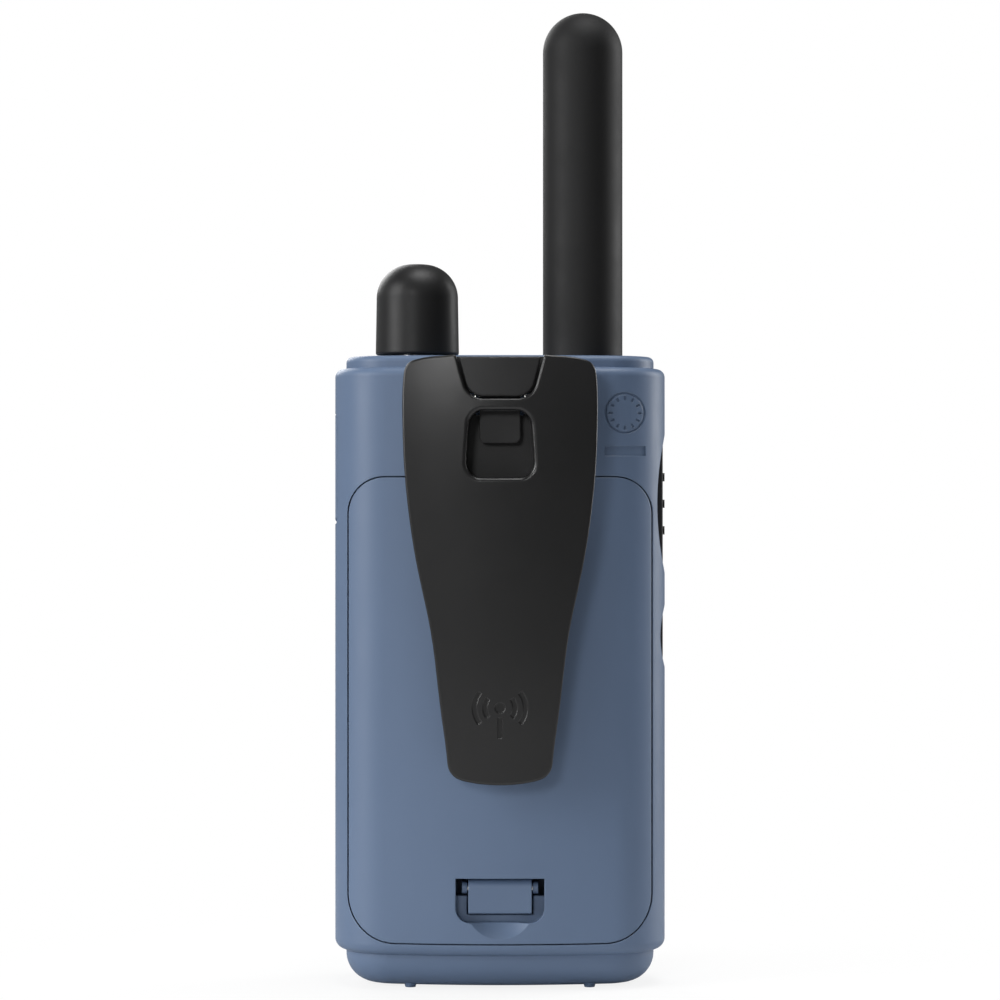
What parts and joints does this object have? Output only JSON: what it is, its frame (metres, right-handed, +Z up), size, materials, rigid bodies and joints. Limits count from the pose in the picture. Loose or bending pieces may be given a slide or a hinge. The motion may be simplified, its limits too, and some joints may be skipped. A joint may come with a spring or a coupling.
{
  "type": "walkie talkie",
  "caption": "Handheld two-way radio with a stub antenna, volume knob, front keys and display, side talk button, latched battery door and a sprung belt clip on a slide-off dock.",
  "frame": {"origin": "under the middle of the whole radio, on the plane its feet stand on", "axes": "+Z up along the antenna, +Y towards the back (belt clip), +X towards the knob side; the front with the display faces -Y"},
  "size_m": [0.052, 0.0372, 0.1532],
  "materials": {
    "housing_plastic": "satin blue-grey moulded plastic with a fine texture",
    "door_plastic": "satin blue-grey moulded plastic",
    "latch_plastic": "satin blue-grey moulded plastic",
    "clip_plastic": "satin black moulded plastic",
    "carrier_plastic": "satin black moulded plastic",
    "antenna_rubber": "satin black moulded rubber",
    "knob_plastic": "satin black moulded plastic",
    "white_paint": "white filled mark",
    "fascia_plastic": "black plastic panel, fine texture",
    "window_clear": "clear glossy pane",
    "key_rubber": "dark grey moulded keys",
    "button_rubber": "matt black rubber",
    "cover_rubber": "satin blue-grey rubber flap",
    "mat_rubber": "grey silicone rubber",
    "foam_black": "black cell foam",
    "spring_steel": "bright spring steel",
    "screw_steel": "blackened steel",
    "plated_contact": "nickel-plated contacts",
    "tin_can": "tin-plated sheet",
    "coil_brass": "brass",
    "core_plastic": "pale plastic former",
    "pot_body": "zinc and steel potentiometer",
    "shaft_metal": "turned aluminium shaft",
    "board_green": "green solder mask",
    "chip_black": "black moulded components",
    "lcd_glass": "grey-green liquid crystal glass",
    "light_tray": "milky light guide",
    "speaker_steel": "zinc-plated steel",
    "cone_film": "black film cone",
    "speaker_felt": "black acoustic cloth",
    "mic_metal": "aluminium capsule",
    "cell_jacket": "printed metal-film jacket with bare steel poles"
  },
  "bodies": {
    "housing": {"rear_housing": "housing_plastic", "front_housing": "housing_plastic", "front_fascia": "fascia_plastic", "display_window": "window_clear", "led_lens": "window_clear", "latch_pin": "spring_steel", "housing_screws": "screw_steel", "antenna_sleeve": "antenna_rubber", "antenna_core": "core_plastic", "antenna_coil": "coil_brass", "antenna_base": "coil_brass", "antenna_contact": "spring_steel", "volume_encoder": "pot_body", "side_board": "board_green", "talk_switch": "chip_black", "side_switch": "chip_black", "headset_jack": "chip_black", "usb_socket": "tin_can", "port_board": "board_green", "lcd_panel": "lcd_glass", "lcd_backlight": "light_tray", "status_led": "light_tray", "keypad_mat": "mat_rubber", "main_board": "board_green", "rf_shield": "tin_can", "board_chips": "chip_black", "speaker_frame": "speaker_steel", "speaker_cone": "cone_film", "speaker_magnet": "speaker_steel", "speaker_cloth": "speaker_felt", "microphone": "mic_metal", "microphone_boot": "mat_rubber", "cell_1": "cell_jacket", "cell_2": "cell_jacket", "cell_3": "cell_jacket", "battery_springs": "spring_steel", "battery_plates": "plated_contact"},
    "knob": {"volume_knob": "knob_plastic", "knob_index": "white_paint", "encoder_shaft": "shaft_metal"},
    "door": {"battery_door": "door_plastic", "door_foam": "foam_black"},
    "latch": {"door_latch": "latch_plastic"},
    "carrier": {"clip_carrier": "carrier_plastic", "clip_hinge_pin": "spring_steel", "clip_springs": "spring_steel"},
    "clip": {"belt_clip": "clip_plastic"},
    "lever": {"clip_release_lever": "carrier_plastic"},
    "talk": {"talk_button": "button_rubber"},
    "side": {"side_button": "button_rubber"},
    "cover": {"port_cover": "cover_rubber"},
    "call": {"call_key": "key_rubber"},
    "up": {"up_key": "key_rubber"},
    "down": {"down_key": "key_rubber"},
    "menu": {"menu_key": "key_rubber"},
    "light": {"light_key": "key_rubber"}
  },
  "joints": [
    {"name": "knob_turn", "type": "hinge", "parent": "housing", "child": "knob", "pos_m": [0.0131, -0.00402, 0.103], "axis": [0, 0, -1], "range_deg": [0, 300]},
    {"name": "door_open", "type": "hinge", "parent": "housing", "child": "door", "pos_m": [0, 0.00797, 0.0796], "axis": [1, 0, 0], "range_deg": [0, 4]},
    {"name": "latch_flip", "type": "hinge", "parent": "housing", "child": "latch", "pos_m": [0, 0.00728, 0.016], "axis": [1, 0, 0], "range_deg": [0, 40], "stiffness_Nm_per_rad": 0.002, "springref_deg": -17.19},
    {"name": "clip_slide", "type": "slide", "parent": "housing", "child": "carrier", "axis": [0, 0, 1], "range_m": [0, 0.016]},
    {"name": "clip_squeeze", "type": "hinge", "parent": "carrier", "child": "clip", "pos_m": [0, 0.01418, 0.0909], "axis": [1, 0, 0], "range_deg": [0, 12], "stiffness_Nm_per_rad": 0.15, "springref_deg": -17.19},
    {"name": "lever_press", "type": "hinge", "parent": "clip", "child": "lever", "pos_m": [0, 0.01418, 0.0909], "axis": [1, 0, 0], "range_deg": [0, 8], "stiffness_Nm_per_rad": 0.03, "springref_deg": -14.32},
    {"name": "talk_press", "type": "slide", "parent": "housing", "child": "talk", "axis": [1, 0, 0], "range_m": [0, 0.001], "stiffness_N_per_m": 900, "springref_m": -0.0006},
    {"name": "side_press", "type": "slide", "parent": "housing", "child": "side", "axis": [1, 0, 0], "range_m": [0, 0.0006], "stiffness_N_per_m": 900, "springref_m": -0.0006},
    {"name": "cover_open", "type": "hinge", "parent": "housing", "child": "cover", "pos_m": [0.02525, -0.00402, 0.0732], "axis": [0, 1, 0], "range_deg": [0, 90]},
    {"name": "call_press", "type": "slide", "parent": "housing", "child": "call", "axis": [0, 1, 0], "range_m": [0, 0.0006], "stiffness_N_per_m": 700, "springref_m": -0.0005},
    {"name": "up_press", "type": "slide", "parent": "housing", "child": "up", "axis": [0, 1, 0], "range_m": [0, 0.0006], "stiffness_N_per_m": 700, "springref_m": -0.0005},
    {"name": "down_press", "type": "slide", "parent": "housing", "child": "down", "axis": [0, 1, 0], "range_m": [0, 0.0006], "stiffness_N_per_m": 700, "springref_m": -0.0005},
    {"name": "menu_press", "type": "slide", "parent": "housing", "child": "menu", "axis": [0, 1, 0], "range_m": [0, 0.0006], "stiffness_N_per_m": 700, "springref_m": -0.0005},
    {"name": "light_press", "type": "slide", "parent": "housing", "child": "light", "axis": [0, 1, 0], "range_m": [0, 0.0006], "stiffness_N_per_m": 700, "springref_m": -0.0005}
  ]
}
